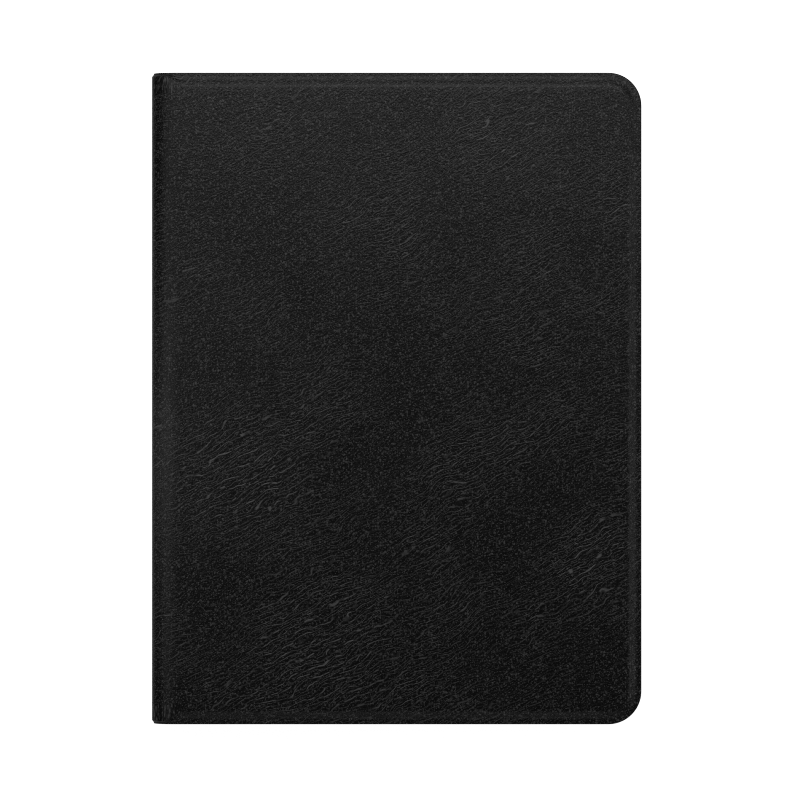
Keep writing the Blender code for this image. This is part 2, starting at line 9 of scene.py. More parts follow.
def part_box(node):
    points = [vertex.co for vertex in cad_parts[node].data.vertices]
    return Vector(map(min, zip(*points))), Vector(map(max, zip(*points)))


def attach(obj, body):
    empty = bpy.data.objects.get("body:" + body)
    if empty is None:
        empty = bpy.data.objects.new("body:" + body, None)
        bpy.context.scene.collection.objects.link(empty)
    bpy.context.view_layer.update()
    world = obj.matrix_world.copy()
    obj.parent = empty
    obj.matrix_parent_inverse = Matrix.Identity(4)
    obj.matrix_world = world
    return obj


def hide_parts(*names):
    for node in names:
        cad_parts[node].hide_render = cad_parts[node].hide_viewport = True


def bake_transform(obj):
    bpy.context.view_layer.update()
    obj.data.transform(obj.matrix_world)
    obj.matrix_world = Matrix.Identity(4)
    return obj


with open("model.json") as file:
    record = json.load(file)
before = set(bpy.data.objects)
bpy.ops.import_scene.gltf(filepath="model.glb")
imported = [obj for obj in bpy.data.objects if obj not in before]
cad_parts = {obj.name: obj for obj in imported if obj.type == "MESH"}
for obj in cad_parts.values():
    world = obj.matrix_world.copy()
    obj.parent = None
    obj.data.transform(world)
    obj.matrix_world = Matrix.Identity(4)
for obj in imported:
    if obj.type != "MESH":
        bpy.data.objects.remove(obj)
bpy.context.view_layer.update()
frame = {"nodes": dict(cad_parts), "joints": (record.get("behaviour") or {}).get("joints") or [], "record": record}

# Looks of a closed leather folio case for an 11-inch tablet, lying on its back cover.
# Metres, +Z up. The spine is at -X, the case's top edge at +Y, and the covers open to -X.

MM = 0.001

# Places read from the frame
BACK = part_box("back_skin")
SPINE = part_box("spine_skin")
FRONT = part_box("front_skin")
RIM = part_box("tray_rim")
TOP = FRONT[1].z
MID_Z = TOP / 2
FREE_X = FRONT[1].x
SPINE_X = SPINE[0].x
END_Y = FRONT[1].y
SPINE_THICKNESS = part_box("spine_lining")[1].x - SPINE_X
FRONT_THICKNESS = TOP - FRONT[0].z
BACK_THICKNESS = BACK[1].z
CASE_MIDDLE = Vector(((SPINE_X + FREE_X) / 2, 0.0, MID_Z))
AXES = {
    joint["name"]: Vector(joint["pos_m"]) for joint in frame["joints"] if joint["type"] == "hinge"
}

# The covers' plan
COVER_CORNER = 13.0 * MM
TURN_IN = 8.0 * MM
LINING_INSET = FREE_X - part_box("front_lining")[1].x
LINING = 0.6 * MM
LEATHER = 0.75 * MM

# The rings of a cover: steps along its sides, round a corner and along its free edge, with
# finer steps over the first run past mid-spine, where the fold is
CREASE_RUN = 24.0 * MM
CREASE_STEPS = 30
SIDE_STEPS = 40
CORNER_STEPS = 14
EDGE_STEPS = 56
PLATEAU_STEP = 6.0 * MM
LEAST_RADIUS = 1.0 * MM

# Steps in which the length round a cover's long edge is measured
BEND_STEPS = 200

# Where wrinkles gather on the front cover: run from mid-spine, y, reach
WRINKLED = (
    (0.072, -0.095, 0.052),
    (0.040, -0.030, 0.046),
    (0.142, 0.104, 0.034),
    (0.178, -0.062, 0.034),
)

# The tray, with the camera window in it and in the back cover
OPENINGS = {hole["name"]: hole["box_m"] for hole in frame["record"]["physics"]["openings"]}
WINDOW_LOW, WINDOW_HIGH = OPENINGS["camera_window"]
WINDOW_X = (WINDOW_LOW[0] + WINDOW_HIGH[0]) / 2
WINDOW_Y = (WINDOW_LOW[1] + WINDOW_HIGH[1]) / 2
WINDOW_HALF = 14.5 * MM
WINDOW_ROUND = 8.0 * MM
WINDOW_STEP = 0.5 * MM
BINDING = 0.45 * MM
RIM_CORNER = 19.8 * MM
RIM_WALL = 1.6 * MM
LIP_REACH = 1.2 * MM
LIP = 0.8 * MM
PORT_SIZE = (13.0 * MM, 5.0 * MM)
SPEAKER_SIZE = (22.0 * MM, 2.4 * MM)
SPEAKER_INSET = 36.0 * MM
BUTTONS = ("power_button", "volume_up_button", "volume_down_button")
BUTTON_GAP = 0.3 * MM
BAY_Z = (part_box("power_button")[0].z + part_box("power_button")[1].z) / 2
HINGE = AXES["leg_swing"]
PAD_CROWN = 0.06 * MM

# Edges that turn by more than this are drawn hard
SHARP = math.radians(40.0)

# The picture: how many case widths it is wide, and how far its middle is off the case's
VIEW_WIDTHS = 1.6305
VIEW_SHIFT = (1.4 * MM, -0.59 * MM)


# ---------------------------------------------------------------- shader helpers

def add(tree, kind, links=None, **settings):
    """A node with its settings; links gives each socket a value or another node's output."""
    node = tree.nodes.new("ShaderNode" + kind)
    for key, value in settings.items():
        setattr(node, key, value)
    for key, value in (links or {}).items():
        if isinstance(value, bpy.types.NodeSocket):
            tree.links.new(value, node.inputs[key])
        else:
            node.inputs[key].default_value = value
    return node


def new_material(name, **sockets):
    """A Principled material with some sockets set, as (material, tree, shader)."""
    made = bpy.data.materials.new(name)
    made.use_nodes = True
    shader = made.node_tree.nodes["Principled BSDF"]
    for socket, value in sockets.items():
        shader.inputs[socket.replace("_", " ")].default_value = value
    return made, made.node_tree, shader


def coordinates(tree, from_uv):
    """Where the grain is read: the unrolled sheet, in metres, or the piece itself."""
    if from_uv:
        return add(tree, "UVMap", uv_map="grain").outputs["UV"]
    return add(tree, "TexCoord").outputs["Object"]


def turned(tree, vector, angle, stretch):
    """The coordinates turned and stretched, so that what is read from them runs at that angle."""
    return add(
        tree,
        "Mapping",
        {"Vector": vector, "Rotation": (0.0, 0.0, angle), "Scale": (stretch, 1.0, 1.0)},
        vector_type="TEXTURE",
    ).outputs["Vector"]


def warped(tree, vector, scale, amount):
    """The coordinates pushed about by a noise, so that lines wander."""
    wobble = add(tree, "TexNoise", {"Vector": vector, "Scale": scale, "Detail": 2.0})
    centred = add(
        tree,
        "VectorMath",
        {0: wobble.outputs["Color"], 1: grey(0.5)},
        operation="SUBTRACT",
    )
    push = add(
        tree, "VectorMath", {0: centred.outputs[0], "Scale": amount}, operation="SCALE"
    )
    return add(
        tree, "VectorMath", {0: vector, 1: push.outputs[0]}, operation="ADD"
    ).outputs[0]


def ramp(tree, value, low, high, out_low=0.0, out_high=1.0):
    """A smooth step of a value from one level to another."""
    return add(
        tree,
        "MapRange",
        {
            "Value": value,
            "From Min": low,
            "From Max": high,
            "To Min": out_low,
            "To Max": out_high,
        },
        interpolation_type="SMOOTHSTEP",
    ).outputs["Result"]


def noise_level(tree, vector, scale, detail=2.0):
    """A noise from 0 to 1."""
    links = {"Vector": vector, "Scale": scale, "Detail": detail}
    return add(tree, "TexNoise", links).outputs["Fac"]


def times(tree, first, second):
    """The product of two values."""
    return add(tree, "Math", {0: first, 1: second}, operation="MULTIPLY").outputs[0]


def plus(tree, first, second):
    """The sum of two values."""
    return add(tree, "Math", {0: first, 1: second}, operation="ADD").outputs[0]


def grey(value):
    """A grey colour."""
    return (value, value, value)


def mix_colour(tree, factor, first, second):
    """Two colours mixed by a factor."""
    node = add(tree, "Mix", data_type="RGBA")
    tree.links.new(factor, node.inputs[0])
    for socket, value in ((node.inputs[6], first), (node.inputs[7], second)):
        if isinstance(value, bpy.types.NodeSocket):
            tree.links.new(value, socket)
        else:
            socket.default_value = (*value, 1.0)
    return node.outputs[2]


def bump(tree, height, strength, distance):
    """The normal of a height field."""
    links = {"Height": height, "Strength": strength, "Distance": distance}
    return add(tree, "Bump", links).outputs["Normal"]


def off_line(tree, vector, spacing):
    """How far from the nearest of a run of wandering lines: 0 on a line, 0.5 between two."""
    across = add(tree, "SeparateXYZ", {"Vector": vector}).outputs["Y"]
    wander = noise_level(tree, vector, 0.45 / spacing, 1.5)
    level = plus(tree, times(tree, across, 1.0 / spacing), times(tree, wander, 2.8))
    return add(tree, "Math", {0: level, 1: 0.5}, operation="PINGPONG").outputs[0]


# ---------------------------------------------------------------- materials

def leather_material(name, from_uv, spots=()):
    """Black grained leather: fine pebbles, and wandering wrinkles in patches.

    Each spot is (run, y, reach) of a place where the wrinkles gather.
    """
    along = math.radians(27.0)
    short_gap = 1.2 * MM
    long_gap = 2.3 * MM
    relief = 0.08 * MM
    made, tree, shader = new_material(
        name, Specular_IOR_Level=0.42, Sheen_Weight=0.04, Sheen_Roughness=0.5
    )
    place = coordinates(tree, from_uv)

    # Patches where the hide is creased, and slow changes of tone
    patch = noise_level(tree, place, 22.0, 2.0)
    creased = ramp(tree, patch, 0.36, 0.70, 0.0, 0.75)
    for run, y, reach in spots:
        apart = add(
            tree, "VectorMath", {0: place, 1: (run, y, 0.0)}, operation="DISTANCE"
        ).outputs["Value"]
        near = times(tree, ramp(tree, apart, 0.15 * reach, reach, 1.0, 0.0), 1.1)
        near = times(tree, near, ramp(tree, patch, 0.28, 0.55, 0.35, 1.0))
        creased = add(tree, "Math", {0: creased, 1: near}, operation="MAXIMUM").outputs[0]
    tone = noise_level(tree, place, 34.0, 3.0)

    # Pebbles, each of its own tone, with finer grain between
    pebbles = add(
        tree,
        "TexVoronoi",
        {"Vector": warped(tree, place, 900.0, 0.7 * MM), "Scale": 1050.0},
        feature="F1",
    )
    dome = ramp(tree, pebbles.outputs["Distance"], 0.15, 0.75, 1.0, 0.0)
    own_tone = add(tree, "SeparateColor", {"Color": pebbles.outputs["Color"]}).outputs[0]
    fine = noise_level(tree, place, 1600.0, 1.0)

    # Wrinkles that wander along the hide and break off, short ones and long ones
    broken = noise_level(tree, place, 300.0, 1.0)
    bent = warped(tree, place, 40.0, 10.0 * MM)
    short_place = turned(tree, warped(tree, bent, 300.0, 1.2 * MM), along, 2.2)
    short_ridge = times(
        tree,
        ramp(tree, off_line(tree, short_place, short_gap), 0.0, 0.22, 1.0, 0.0),
        plus(tree, times(tree, creased, 0.65), 0.35),
    )
    short_ridge = times(tree, short_ridge, ramp(tree, broken, 0.35, 0.60, 0.25, 1.0))
    long_place = turned(tree, warped(tree, bent, 170.0, 2.2 * MM), along, 3.2)
    long_line = off_line(tree, long_place, long_gap)
    long_ridge = times(tree, ramp(tree, long_line, 0.0, 0.12, 1.0, 0.0), creased)
    long_ridge = times(tree, long_ridge, ramp(tree, broken, 0.42, 0.56, 1.0, 0.05))

    # Colour: nearly black, with paler pebbles here and there, fine painted glints, painted shade in the creases
    # beside the long wrinkles, and paler wrinkle ridges that are partly rubbed wear and partly a painted highlight
    ground = mix_colour(tree, ramp(tree, tone, 0.30, 0.70), grey(0.0012), grey(0.0030))
    speck = times(tree, ramp(tree, own_tone, 0.58, 1.0), dome)
    speck = times(tree, speck, ramp(tree, fine, 0.30, 0.62, 0.25, 1.0))
    ground = mix_colour(tree, speck, ground, grey(0.140))
    glint = ramp(tree, fine, 0.57, 0.69, 0.0, 0.8)
    ground = mix_colour(tree, glint, ground, grey(0.120))
    # Painted shade: the colour darkens in the creases beside the long wrinkles
    painted_crease_shade = times(tree, ramp(tree, long_line, 0.10, 0.30, 0.8, 0.0), creased)
    ground = mix_colour(tree, painted_crease_shade, ground, grey(0.0010))
    # Paler wrinkle ridges: partly rubbed wear, partly a painted highlight along the ridges
    ground = mix_colour(tree, times(tree, short_ridge, 0.55), ground, grey(0.100))
    ground = mix_colour(tree, long_ridge, ground, grey(0.170))
    tree.links.new(ground, shader.inputs["Base Color"])

    rough = plus(tree, ramp(tree, tone, 0.25, 0.75, 0.39, 0.34), times(tree, speck, -0.05))
    tree.links.new(rough, shader.inputs["Roughness"])

    height = plus(tree, times(tree, dome, 0.45), times(tree, fine, 0.30))
    height = plus(tree, height, times(tree, short_ridge, 0.55))
    height = plus(tree, height, times(tree, long_ridge, 0.90))
    tree.links.new(bump(tree, height, 1.0, relief), shader.inputs["Normal"])
    return made


def microfibre_material(name, colour, from_uv):
    """Short-napped lining: a soft fuzz with brushed patches and a light sheen."""
    made, tree, shader = new_material(
        name, Roughness=0.95, Specular_IOR_Level=0.15, Sheen_Weight=0.35, Sheen_Roughness=0.45
    )
    place = coordinates(tree, from_uv)
    nap = noise_level(tree, place, 1800.0, 4.0)
    brushed = noise_level(tree, turned(tree, place, math.radians(70.0), 4.0), 60.0, 3.0)
    pale = tuple(1.9 * value for value in colour)
    dark = tuple(0.62 * value for value in colour)
    shade = mix_colour(tree, ramp(tree, nap, 0.25, 0.75), dark, pale)
    shade = mix_colour(tree, ramp(tree, brushed, 0.35, 0.75, 0.0, 0.35), shade, pale)
    tree.links.new(shade, shader.inputs["Base Color"])
    tree.links.new(bump(tree, nap, 0.7, 0.15 * MM), shader.inputs["Normal"])
    return made


def moulded_material(name, colour, rough, grain, depth, specular):
    """Moulded plastic or rubber: an even spark-eroded texture with slight changes of tone."""
    made, tree, shader = new_material(name, Specular_IOR_Level=specular)
    place = coordinates(tree, False)
    fine = noise_level(tree, place, grain, 3.0)
    slow = noise_level(tree, place, 55.0, 2.0)
    dark = tuple(0.75 * value for value in colour)
    pale = tuple(1.35 * value for value in colour)
    shade = mix_colour(tree, ramp(tree, slow, 0.3, 0.7), dark, pale)
    tree.links.new(shade, shader.inputs["Base Color"])
    varied = ramp(tree, fine, 0.3, 0.7, rough - 0.06, rough + 0.06)
    tree.links.new(varied, shader.inputs["Roughness"])
    tree.links.new(bump(tree, fine, 0.6, depth), shader.inputs["Normal"])
    return made


def board_material(name, colour):
    """Grey pressed board: flecks and long fibres."""
    made, tree, shader = new_material(name, Roughness=0.9, Specular_IOR_Level=0.2)
    place = coordinates(tree, False)
    fleck = noise_level(tree, place, 1300.0, 4.0)
    fibre_place = turned(tree, warped(tree, place, 90.0, 4.0 * MM), 0.4, 6.0)
    fibre = noise_level(tree, fibre_place, 900.0)
    dark = tuple(0.6 * value for value in colour)
    shade = mix_colour(tree, ramp(tree, fleck, 0.35, 0.60), dark, colour)
    shade = mix_colour(tree, ramp(tree, fibre, 0.60, 0.75, 0.0, 0.5), shade, (0.42, 0.40, 0.36))
    tree.links.new(shade, shader.inputs["Base Color"])
    tree.links.new(bump(tree, fleck, 0.5, 0.1 * MM), shader.inputs["Normal"])
    return made


def foam_material(name):
    """Open-cell foam sheet."""
    made, tree, shader = new_material(name, Roughness=0.95, Specular_IOR_Level=0.2)
    place = coordinates(tree, False)
    cell = add(tree, "TexVoronoi", {"Vector": place, "Scale": 1500.0}).outputs["Distance"]
    shade = mix_colour(tree, ramp(tree, cell, 0.1, 0.6), grey(0.11), (0.035, 0.035, 0.037))
    tree.links.new(shade, shader.inputs["Base Color"])
    tree.links.new(bump(tree, cell, 0.8, 0.3 * MM), shader.inputs["Normal"])
    return made


def metal_material(name, colour, rough, brushed):
    """Rolled or plated metal with a brushed grain and cloudy stains."""
    made, tree, shader = new_material(name, Metallic=1.0)
    place = coordinates(tree, False)
    stain = noise_level(tree, place, 180.0, 3.0)
    line = noise_level(tree, turned(tree, place, math.pi / 2, brushed), 2500.0)
    dark = tuple(0.7 * value for value in colour)
    shade = mix_colour(tree, ramp(tree, stain, 0.3, 0.7), dark, colour)
    tree.links.new(shade, shader.inputs["Base Color"])
    varied = ramp(tree, line, 0.3, 0.7, rough - 0.08, rough + 0.10)
    tree.links.new(varied, shader.inputs["Roughness"])
    tree.links.new(bump(tree, line, 0.3, 0.03 * MM), shader.inputs["Normal"])
    return made


def floor_material(name):
    """A matt white sweep."""
    made, tree, shader = new_material(name, Roughness=0.9, Specular_IOR_Level=0.0)
    place = coordinates(tree, False)
    slow = noise_level(tree, place, 2.0, 2.0)
    shade = mix_colour(tree, ramp(tree, slow, 0.3, 0.7), grey(0.88), grey(0.90))
    tree.links.new(shade, shader.inputs["Base Color"])
    shader.inputs["Emission Color"].default_value = (1.0, 1.0, 1.0, 1.0)
    seen = add(tree, "LightPath").outputs["Is Camera Ray"]
    tree.links.new(ramp(tree, seen, 0.0, 1.0, 0.05, 0.93), shader.inputs["Emission Strength"])
    return made


# ---------------------------------------------------------------- mesh helpers

def arc(centre, radius, start, end, steps):
    """Points on an arc, from one angle in degrees to another."""
    points = []
    for step in range(steps + 1):
        angle = math.radians(start + (end - start) * step / steps)
        points.append((centre[0] + radius * math.cos(angle), centre[1] + radius * math.sin(angle)))
    return points


def spread(low, high, steps):
    """Evenly spaced values from low to high, without the first."""
    return [low + (high - low) * step / steps for step in range(1, steps + 1)]


def part_way(value, start, end):
    """How far a value has come from a start to an end, 0 to 1."""
    return min(max((value - start) / (end - start), 0.0), 1.0)


def smooth(part):
    """A smooth step, for a part from 0 to 1."""
    return part * part * (3 - 2 * part)


def new_piece(name, cage, material):
    """A mesh object from a cage: welded, its faces pointing out, smooth but for hard edges."""
    bmesh.ops.remove_doubles(cage, verts=cage.verts, dist=0.0005 * MM)
    bmesh.ops.dissolve_degenerate(cage, edges=cage.edges, dist=0.0001 * MM)
    bmesh.ops.recalc_face_normals(cage, faces=cage.faces)
    mesh = bpy.data.meshes.new(name)
    cage.to_mesh(mesh)
    cage.free()
    mesh.materials.append(material)
    mesh.shade_smooth()
    mesh.set_sharp_from_angle(angle=SHARP)
    thing = bpy.data.objects.new(name, mesh)
    bpy.context.scene.collection.objects.link(thing)
    return thing


def strip_faces(cage, first, second, cyclic=False):
    """Quads between two rows of vertices."""
    count = len(first) if cyclic else len(first) - 1
    for i in range(count):
        j = (i + 1) % len(first)
        cage.faces.new((first[i], first[j], second[j], second[i]))


def cut(thing, *tools):
    """Cut other objects out of a piece for good, and remove them."""
    for tool in tools:
        modifier = thing.modifiers.new("cut", "BOOLEAN")
        modifier.object = tool
        modifier.operation = "DIFFERENCE"
        modifier.solver = "EXACT"
    evaluated = thing.evaluated_get(bpy.context.evaluated_depsgraph_get())
    mesh = bpy.data.meshes.new_from_object(evaluated)
    thing.modifiers.clear()
    thing.data = mesh
    mesh.set_sharp_from_angle(angle=SHARP)
    for tool in tools:
        bpy.data.objects.remove(tool, do_unlink=True)


# ---------------------------------------------------------------- covers

class Cover:
    """One half of the wrapped case: half the spine, its rounded long edge and a cover.

    A point is given by its run, from mid-spine out to the free edge, its y, and its share of
    the way from the outer surface to the inner one.
    """

    def __init__(self, side, thickness, round_x, round_z, inner_round_z):
        """The side is 1 for the front and -1 for the back; the rounds are the long edge's."""
        self.side = side
        self.thickness = thickness
        self.round_x = round_x
        self.round_z = round_z
        self.inner_round_z = inner_round_z
        self.rise = MID_Z - round_z
        bend = [(0.0, 0.0)]
        for angle in spread(0.0, math.pi / 2, BEND_STEPS):
            bend.append((round_x * (1 - math.cos(angle)), round_z * math.sin(angle)))
        self.bend_runs = [0.0]
        for (x0, z0), (x1, z1) in zip(bend, bend[1:]):
            self.bend_runs.append(self.bend_runs[-1] + math.hypot(x1 - x0, z1 - z0))
        self.length = self.rise + self.bend_runs[-1] + FREE_X - SPINE_X - round_x

    def bend_angle(self, run):
        """The angle round the long edge at a run past its start."""
        for step, (before, after) in enumerate(zip(self.bend_runs, self.bend_runs[1:])):
            if run <= after:
                part = (run - before) / (after - before)
                return math.pi / 2 * (step + part) / BEND_STEPS
        return math.pi / 2

    def ends(self, run):
        """The outer and inner (x, height above mid-spine) at a run."""
        inner_top = MID_Z - self.thickness
        inner_rise = inner_top - self.inner_round_z
        bend = self.bend_runs[-1]
        if run <= self.rise:
            return (0.0, run), (SPINE_THICKNESS, run / self.rise * inner_rise)
        if run < self.rise + bend:
            angle = self.bend_angle(run - self.rise)
            outer = (
                self.round_x * (1 - math.cos(angle)),
                self.rise + self.round_z * math.sin(angle),
            )
            inner = (
                self.round_x - (self.round_x - SPINE_THICKNESS) * math.cos(angle),
                inner_rise + self.inner_round_z * math.sin(angle),
            )
            return outer, inner
        x = self.round_x + run - self.rise - bend
        return (x, MID_Z), (x, inner_top)

    def place(self, run, y, share, depth):
        """A point some share of the way in, plus a depth in metres."""
        outer, inner = self.ends(run)
        across = math.hypot(inner[0] - outer[0], inner[1] - outer[1])
        part = share + depth / across
        x = outer[0] + (inner[0] - outer[0]) * part
        height = outer[1] + (inner[1] - outer[1]) * part
        return Vector((SPINE_X + x, y, MID_Z + self.side * height))

    def outline(self, inset, tight=False):
        """(run, y) round three sides, set in from the edge, from mid-spine to mid-spine."""
        half = max(END_Y - inset, 0.0)
        end = self.length - inset
        radius = min(max(COVER_CORNER - inset, LEAST_RADIUS), half)
        runs = [0.0] + spread(0.0, CREASE_RUN, CREASE_STEPS)
        runs += spread(CREASE_RUN, end - radius, SIDE_STEPS)
        side = []
        for run in runs:
            here = inset * self.tightness(run) if tight else inset
            side.append((run, -max(END_Y - here, 0.0)))
        corner = arc((end - radius, radius - half), radius, -90.0, 0.0, CORNER_STEPS)[1:]
        edge = [(end, y) for y in spread(radius - half, half - radius, EDGE_STEPS)]
        lower = side + corner
        upper = [(run, -y) for run, y in reversed(lower)]
        return lower + edge[:-1] + upper

    def tightness(self, run):
        """How far the soft shoulder reaches in, against its full reach: less along the spine."""
        least = 0.26
        start = self.rise + 0.5 * self.bend_runs[-1]
        return least + (1 - least) * smooth(part_way(run, start, start + 9.0 * MM))

    def build(self, name, rings, material, wave=0.0):
        """A closed solid through rings of (inset, share, depth, tight), first and last on y = 0."""
        cage = bmesh.new()
        grain = cage.loops.layers.uv.new("grain")
        flat = {}
        rows = []
        sheet_inset = rings[0][0]
        before = rings[0]
        for ring in rings:
            inset, share, depth, tight = ring
            rise = (share - before[1]) * self.thickness + depth - before[2]
            sheet_inset -= math.hypot(inset - before[0], rise)
            before = ring
            spots = self.outline(inset, tight)
            sheet = self.outline(sheet_inset)
            row = []
            for (run, y), (sheet_run, sheet_y) in zip(spots, sheet):
                sink = wave * self.ripple(run, y, inset) if share == 0.0 else 0.0
                vert = cage.verts.new(self.place(run, y, share, depth + sink))
                flat[vert] = (self.side * sheet_run, sheet_y)
                row.append(vert)
            rows.append(row)
        for first, second in zip(rows, rows[1:]):
            strip_faces(cage, first, second)
        cap = [row[0] for row in rows[:-1]] + [row[-1] for row in reversed(rows[1:])]
        cap_face = cage.faces.new(cap)
        for face in cage.faces:
            for loop in face.loops:
                loop[grain].uv = flat[loop.vert]
        self.weld_middle(cage, rows[0], rows[-1])
        bmesh.ops.triangulate(cage, faces=[cap_face], ngon_method="EAR_CLIP")
        return new_piece(name, cage, material)

    def weld_middle(self, cage, *rows):
        """Join the two halves of a ring that lies on y = 0."""
        targets = {}
        for row in rows:
            for lower, upper in zip(row, reversed(row)):
                if lower is not upper and upper not in targets and lower not in targets:
                    targets[upper] = lower
        bmesh.ops.weld_verts(cage, targetmap=targets)

    def ripple(self, run, y, inset):
        """0 to 1: how far the padded face sinks here, fading out towards the edges."""
        start = 0.7 * CREASE_RUN
        fade = part_way(inset, 7.0 * MM, 27.0 * MM) * part_way(run, start, start + 16.0 * MM)

        # Waves some 45 mm long, and half as strong ones some 20 mm long
        wavy = noise.noise(Vector((run * 26.0, y * 19.0, 3.7)))
        wavy += 0.5 * noise.noise(Vector((run * 60.0, y * 47.0, 8.1)))
        return fade * (0.5 + 0.5 * max(min(wavy, 1.0), -1.0))


def plateau(first):
    """Insets of the flat's rings, from the middle line out, a little closer as they go."""
    closing = 0.92
    reach = END_Y - first
    steps = max(int(reach / PLATEAU_STEP), 1)
    return [END_Y - reach * (step / steps) ** closing for step in range(steps + 1)]


def leather_rings(cover, shoulder, drop, edge):
    """The rings of a leather skin: face, step down, edge, turn-in and the inside of them all.

    The face falls by drop between the shoulder's inset and the step's foot, and its outer edge
    is rounded over a depth of edge.
    """
    thick = cover.thickness
    foot = 0.25 * shoulder
    rounding = 0.45 * MM
    wall_end = 0.6 * MM
    lip = 0.12 * MM

    def sunk(inset):
        """How far the face lies under its flat at an inset."""
        return drop * smooth(part_way(inset, shoulder, foot))

    # The face, its step and its rounded outer edge
    outer = [(inset, 0.0, 0.0, False) for inset in plateau(shoulder + 2.0 * MM)]
    step_insets = [shoulder] + spread(shoulder, rounding, 13)
    outer += [(inset, sunk(inset) / thick, 0.0, True) for inset in step_insets]
    for angle in spread(0.0, math.pi / 2, 6):
        depth = sunk(rounding) + edge * (1 - math.cos(angle))
        outer.append((rounding * (1 - math.sin(angle)), depth / thick, 0.0, True))

    # The wall, and its rounding into the turned-in flange
    wall = [(0.0, 1.0 - wall_end / thick, 0.0, False)]
    for angle in spread(0.0, math.pi / 2, 4):
        share = 1.0 - rounding * (1 - math.sin(angle)) / thick
        wall.append((rounding * (1 - math.cos(angle)), share, 0.0, False))
    flange = [(inset * MM, 1.0, 0.0, False) for inset in (1.4, 3.0, 5.0, 6.5)]
    flange += [(TURN_IN - lip, 1.0, 0.0, False), (TURN_IN, 1.0, -lip, False)]
    flange += [(TURN_IN, 1.0, -LINING + lip, False), (TURN_IN - lip, 1.0, -LINING, False)]
    flange += [(4.0 * MM, 1.0, -LINING, False), (0.9 * MM, 1.0, -LINING, False)]

    # Back to the middle line, one leather's thickness under the face
    insets = [inset * MM for inset in (0.85, 1.4, 2.2, 3.1, 4.5) if inset * MM < shoulder]
    insets.append(shoulder)
    inner = [(inset, sunk(inset) / thick, LEATHER, False) for inset in insets]
    inner += [(inset, 0.0, LEATHER, False) for inset in reversed(plateau(shoulder + 4.0 * MM))]
    return outer + wall + flange + inner


def lining_rings():
    """The rings of a lining: its face with a pressed border line, its edge and its back."""
    lip = 0.12 * MM
    groove = 0.14 * MM
    edge = LINING_INSET
    flat = plateau(edge + 5.0 * MM)
    face = [(inset, 1.0, 0.0, False) for inset in flat]
    for offset, part in ((3.2, 0.0), (2.9, 0.7), (2.6, 1.0), (2.3, 0.7), (2.0, 0.0)):
        face.append((edge + offset * MM, 1.0, -groove * part, False))
    face += [(edge + 1.0 * MM, 1.0, 0.0, False), (edge + lip, 1.0, 0.0, False)]
    side = [(edge, 1.0, -lip, False), (edge, 1.0, -LINING + lip, False)]
    back = [(edge + lip, 1.0, -LINING, False)]
    back += [(inset, 1.0, -LINING, False) for inset in reversed(flat)]
    return face + side + back


# ---------------------------------------------------------------- plates

def rounded_ring(rect, radii, inset, steps, side_steps):
    """Points round a rectangle with rounded corners, set in, always as many."""
    least = 0.02 * MM
    x0, x1, y0, y1 = rect
    half = min(x1 - x0, y1 - y0) / 2
    inset = min(inset, half)
    x0, x1, y0, y1 = x0 + inset, x1 - inset, y0 + inset, y1 - inset
    room = min(x1 - x0, y1 - y0) / 2
    corners = ((x0, y0, 1, 1), (x1, y0, -1, 1), (x1, y1, -1, -1), (x0, y1, 1, -1))
    points = []
    for turn, ((x, y, in_x, in_y), radius) in enumerate(zip(corners, radii)):
        radius = min(max(radius - inset, least), room)
        centre = (x + in_x * radius, y + in_y * radius)
        points += arc(centre, radius, 180 + 90 * turn, 270 + 90 * turn, steps)
        following = corners[(turn + 1) % 4]
        next_radius = min(max(radii[(turn + 1) % 4] - inset, least), room)
        start = Vector(points[-1])
        if turn % 2 == 0:
            end = Vector((following[0] + following[2] * next_radius, start.y))
        else:
            end = Vector((start.x, following[1] + following[3] * next_radius))
        points += [tuple(start.lerp(end, k / side_steps)) for k in range(1, side_steps)]
    return points


def plate(name, rect, radii, profile, material, cyclic=False, turn=None, steps=10, side_steps=24):
    """A solid through rings of (inset, z) of a rounded rectangle: a slab, or a cyclic frame."""
    cage = bmesh.new()
    grain = cage.loops.layers.uv.new("grain")
    rows = []
    for inset, z in profile:
        ring = rounded_ring(rect, radii, inset, steps, side_steps)
        rows.append([cage.verts.new((x, y, z)) for x, y in ring])
    for first, second in zip(rows, rows[1:] + rows[:1] if cyclic else rows[1:]):
        strip_faces(cage, first, second, cyclic=True)
    if not cyclic:
        cage.faces.new(rows[0])
        cage.faces.new(rows[-1])
    for face in cage.faces:
        for loop in face.loops:
            loop[grain].uv = loop.vert.co.xy
    if turn is not None:
        bmesh.ops.transform(cage, matrix=turn, verts=cage.verts)
    return new_piece(name, cage, material)


def slab_profile(low, high, radius, crown_low=0.0, reach=8.0 * MM, steps=6):
    """A slab's rings of (inset, z), with rounded edges and a lower face that may swell."""
    profile = []
    face_steps = 6
    quarter = [0.0] + spread(0.0, math.pi / 2, steps)
    for step in range(face_steps):
        part = step / face_steps
        profile.append((reach + (radius - reach) * part, low - crown_low * (1 - part ** 2)))
    for angle in quarter:
        profile.append((radius * (1 - math.sin(angle)), low + radius * (1 - math.cos(angle))))
    for angle in quarter:
        profile.append((radius * (1 - math.cos(angle)), high - radius * (1 - math.sin(angle))))
    for part in spread(0.0, 1.0, face_steps):
        profile.append((radius + (reach - radius) * part, high))
    return profile


